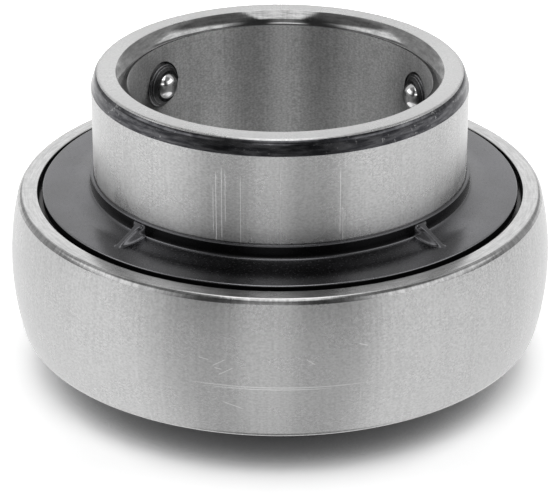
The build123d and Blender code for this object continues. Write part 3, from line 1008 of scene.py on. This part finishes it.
class OBJECT_OT_bearing_slingers(bpy.types.Operator):
    """Makes both slingers with their ribs"""

    bl_idname = "object.bearing_slingers"
    bl_label = "Slingers"

    def execute(self, context):
        build_slinger("slinger_upper_pressed", "slinger_upper", True)
        build_slinger("slinger_lower_pressed", "slinger_lower", False)
        return {"FINISHED"}


class OBJECT_OT_bearing_screws(bpy.types.Operator):
    """Makes both set screws and their tip balls"""

    bl_idname = "object.bearing_screws"
    bl_label = "Set screws"

    def execute(self, context):
        build_screws()
        return {"FINISHED"}


class OBJECT_OT_bearing_inside(bpy.types.Operator):
    """Gives the balls, cage, rivets and seals of the frame their finishes"""

    bl_idname = "object.bearing_inside"
    bl_label = "Inside"

    def execute(self, context):
        finish_of = {"ball": "polished_ball", "cage_upper": "cage_sheet", "cage_lower": "cage_sheet",
                     "cage_rivets": "rivet_steel", "seal_core": "seal_core_steel", "seal_lip": "seal_rubber"}
        for name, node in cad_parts.items():
            for start, finish in finish_of.items():
                if name.startswith(start):
                    node.data.materials.clear()
                    node.data.materials.append(bpy.data.materials[finish])
        return {"FINISHED"}


def camera_ray(tree):
    """1 where the camera looks straight at something and 0 elsewhere."""
    return output(tree, "ShaderNodeLightPath", "Is Camera Ray")


def floor_material():
    """A white floor that keeps the shadow and lets the camera through from below. A painted shadow from
    ambient occlusion darkens it close to the bearing's foot, and the camera sees it at the background's
    white."""
    made = bpy.data.materials.new("studio_floor")
    made.use_nodes = True
    tree = made.node_tree
    tree.nodes.clear()
    # Painted shadow: ambient occlusion darkens the floor's colour close to the bearing.
    painted_occlusion_shade = output(tree, "ShaderNodeAmbientOcclusion", "AO", {"Distance": 45 * MM}, samples=8)
    tone = painted_occlusion_shade.ramp(0.1, 0.5, 0.3, 0.96, smooth=False) * camera_ray(tree).blend(1.0, 1.56)
    white = output(tree, "ShaderNodeBsdfDiffuse", 0, {"Color": tone})
    clear = output(tree, "ShaderNodeBsdfTransparent")
    side = output(tree, "ShaderNodeNewGeometry", "Backfacing")
    mixed = output(tree, "ShaderNodeMixShader", 0, {0: side, 1: white, 2: clear})
    add_node(tree, "ShaderNodeOutputMaterial", {"Surface": mixed})
    return made


def studio_world(values):
    """The studio's light by direction. A panel with a lamp stands at each side, the back is bright, and a
    long narrow panel hangs overhead from front to back. The room behind the camera is dark with one
    paler strip in its middle, and the table in front is dim. Where the camera sees it, it is plain white."""
    world = bpy.data.worlds.new("Studio")
    bpy.context.scene.world = world
    world.use_nodes = True
    tree = world.node_tree
    tree.nodes.clear()
    x, y, z = split(output(tree, "ShaderNodeTexCoord", "Generated"))
    turn = x.calc("ARCTAN2", y * -1.0) * (180 / math.pi)
    rise = z.calc("ARCSINE") * (180 / math.pi)
    around = abs(turn)
    upper = rise.ramp(-2.0, 5.0)
    # In front: the table, and above it the dark room with its strip and window
    strip = turn.ramp(-24.0, -11.0) * turn.ramp(12.0, 0.0)
    window = strip * (rise.ramp(20.0, 26.0) * rise.ramp(36.0, 31.0))
    low = strip * values.low_strip + values.low_front
    high = (strip * rise.ramp(12.0, 24.0) * values.strip_light + window * values.window_light
            + values.dark_front)
    front = rise.ramp(1.0, 9.0).blend(low, high)
    # At the sides: a panel with a darker gap low down, and a lamp in it
    lamp = abs(around - 76.0).ramp(34.0, 28.0) * abs(rise - 32.0).ramp(13.0, 8.0)
    gap = rise.ramp(4.0, 9.0) * rise.ramp(25.0, 19.0)
    side = rise.ramp(43.0, 50.0).blend(values.side_light, values.high_sides)
    side = side * gap.ramp(0.0, 1.0, 1.0, 0.3, smooth=False) + lamp * values.lamp_light
    side = side * turn.ramp(-10.0, 10.0, 1.0, values.right_share)
    # Behind: the panel, and the darker room round it
    panel = around.ramp(150.0, 160.0) * (rise.ramp(9.0, 14.0) * rise.ramp(38.0, 33.0))
    shut = around.ramp(144.0, 156.0) * rise.ramp(35.0, 40.0)
    corners = panel.blend(shut.blend(values.dark_corners, values.high_back), values.back_light)
    back = upper.blend(values.back_light, corners)
    side = (upper * around.ramp(102.0, 118.0)).blend(side, corners)
    sides = turn.ramp(-74.0, -34.0, 1.0, 0.0).calc("MAXIMUM", turn.ramp(26.0, 50.0))
    level = sides.blend(front, around.ramp(112.0, 145.0).blend(side, back))
    level = level * rise.ramp(-80.0, -64.0, values.under_light, 1.0)
    # Overhead: the long panel
    safe = z.calc("MAXIMUM", 0.01)
    over = (abs(x) / safe).ramp(0.25, 0.2) * (y * -1.0 / safe).ramp(0.6, 0.5) * rise.ramp(40.0, 50.0)
    level = camera_ray(tree).blend(over.blend(level, values.top_light), 1.0)
    light = output(tree, "ShaderNodeBackground", 0, {"Color": (1.0, 1.0, 1.0, 1.0), "Strength": level})
    add_node(tree, "ShaderNodeOutputWorld", {"Surface": light})
    world.cycles_visibility.diffuse = False


def soft_lamp(name, elevation, turn, share):
    """A wide soft lamp for the floor and other matt faces, left out of reflections. turn is measured
    from the front to the right, and share is what it adds to the floor, where 1 is white."""
    light = bpy.data.lights.new(name, "SUN")
    light.angle = math.radians(60)
    light.energy = share * math.pi / math.sin(elevation)
    lamp = bpy.data.objects.new(name, light)
    bpy.context.scene.collection.objects.link(lamp)
    lamp.visible_glossy = False
    towards = Vector((math.sin(turn) * math.cos(elevation), -math.cos(turn) * math.cos(elevation),
                      math.sin(elevation)))
    lamp.rotation_mode = "QUATERNION"
    lamp.rotation_quaternion = towards.to_track_quat("Z", "Y")


class OBJECT_OT_bearing_studio(bpy.types.Operator):
    """Makes the floor, the light and the camera"""

    bl_idname = "object.bearing_studio"
    bl_label = "Studio"

    def execute(self, context):
        scene = context.scene
        values = scene.bearing_studio
        mesh = bpy.data.meshes.new("studio_floor")
        reach = 3.0
        level = -SHORT_SIDE - 0.01 * MM
        corners = ((-1, -1), (1, -1), (1, 1), (-1, 1))
        mesh.from_pydata([(x * reach, y * reach, level) for x, y in corners], [], [(0, 1, 2, 3)])
        mesh.materials.append(floor_material())
        floor = bpy.data.objects.new("studio_floor", mesh)
        scene.collection.objects.link(floor)
        floor.visible_glossy = False
        studio_world(values)
        soft_lamp("front_lamp", math.radians(60), 0.0, 0.32)
        soft_lamp("back_lamp", math.radians(25), math.pi, 0.18)
        for name, side in (("left_lamp", -1), ("right_lamp", 1)):
            soft_lamp(name, math.radians(25), side * math.radians(110), 0.25)
        camera_data = bpy.data.cameras.new("Camera")
        camera_data.sensor_width = 36.0
        camera_data.lens = values.focal_pixels / 560 * 36.0
        camera_data.clip_start = 0.01
        camera = bpy.data.objects.new("Camera", camera_data)
        scene.collection.objects.link(camera)
        camera.location = (0.0, -values.distance * math.cos(values.elevation),
                           values.distance * math.sin(values.elevation))
        aim = Vector((0.0, 0.0, values.aim_height)) - camera.location
        camera.rotation_mode = "QUATERNION"
        camera.rotation_quaternion = aim.to_track_quat("-Z", "Y")
        scene.camera = camera
        scene.view_settings.view_transform = "Standard"
        return {"FINISHED"}


OPERATORS = (
    OBJECT_OT_bearing_finishes,
    OBJECT_OT_bearing_rings,
    OBJECT_OT_bearing_slingers,
    OBJECT_OT_bearing_screws,
    OBJECT_OT_bearing_inside,
    OBJECT_OT_bearing_studio,
)


PROPERTY_GROUPS = {
    "bearing_sizes": BearingSizes, "bearing_colours": BearingColours, "bearing_studio": StudioSettings}


class VIEW3D_PT_bearing(bpy.types.Panel):
    """Lists the bearing's steps, sizes and colours"""

    bl_idname = "VIEW3D_PT_bearing"
    bl_label = "Insert bearing"
    bl_space_type = "VIEW_3D"
    bl_region_type = "UI"
    bl_category = "Bearing"

    def draw(self, context):
        for operator in OPERATORS:
            self.layout.operator(operator.bl_idname)
        for group in (getattr(context.scene, name) for name in PROPERTY_GROUPS):
            box = self.layout.box()
            for name in group.bl_rna.properties.keys():
                if name not in ("rna_type", "name"):
                    box.prop(group, name)


CLASSES = (*PROPERTY_GROUPS.values(), *OPERATORS, VIEW3D_PT_bearing)


def register():
    for made in CLASSES:
        bpy.utils.register_class(made)
    for name, group in PROPERTY_GROUPS.items():
        setattr(bpy.types.Scene, name, bpy.props.PointerProperty(type=group))


def unregister():
    for name in PROPERTY_GROUPS:
        delattr(bpy.types.Scene, name)
    for made in reversed(CLASSES):
        bpy.utils.unregister_class(made)


def main():
    register()
    bpy.ops.object.bearing_finishes()
    bpy.ops.object.bearing_rings()
    bpy.ops.object.bearing_slingers()
    bpy.ops.object.bearing_screws()
    bpy.ops.object.bearing_inside()
    bpy.ops.object.bearing_studio()


if __name__ == "__main__":
    main()
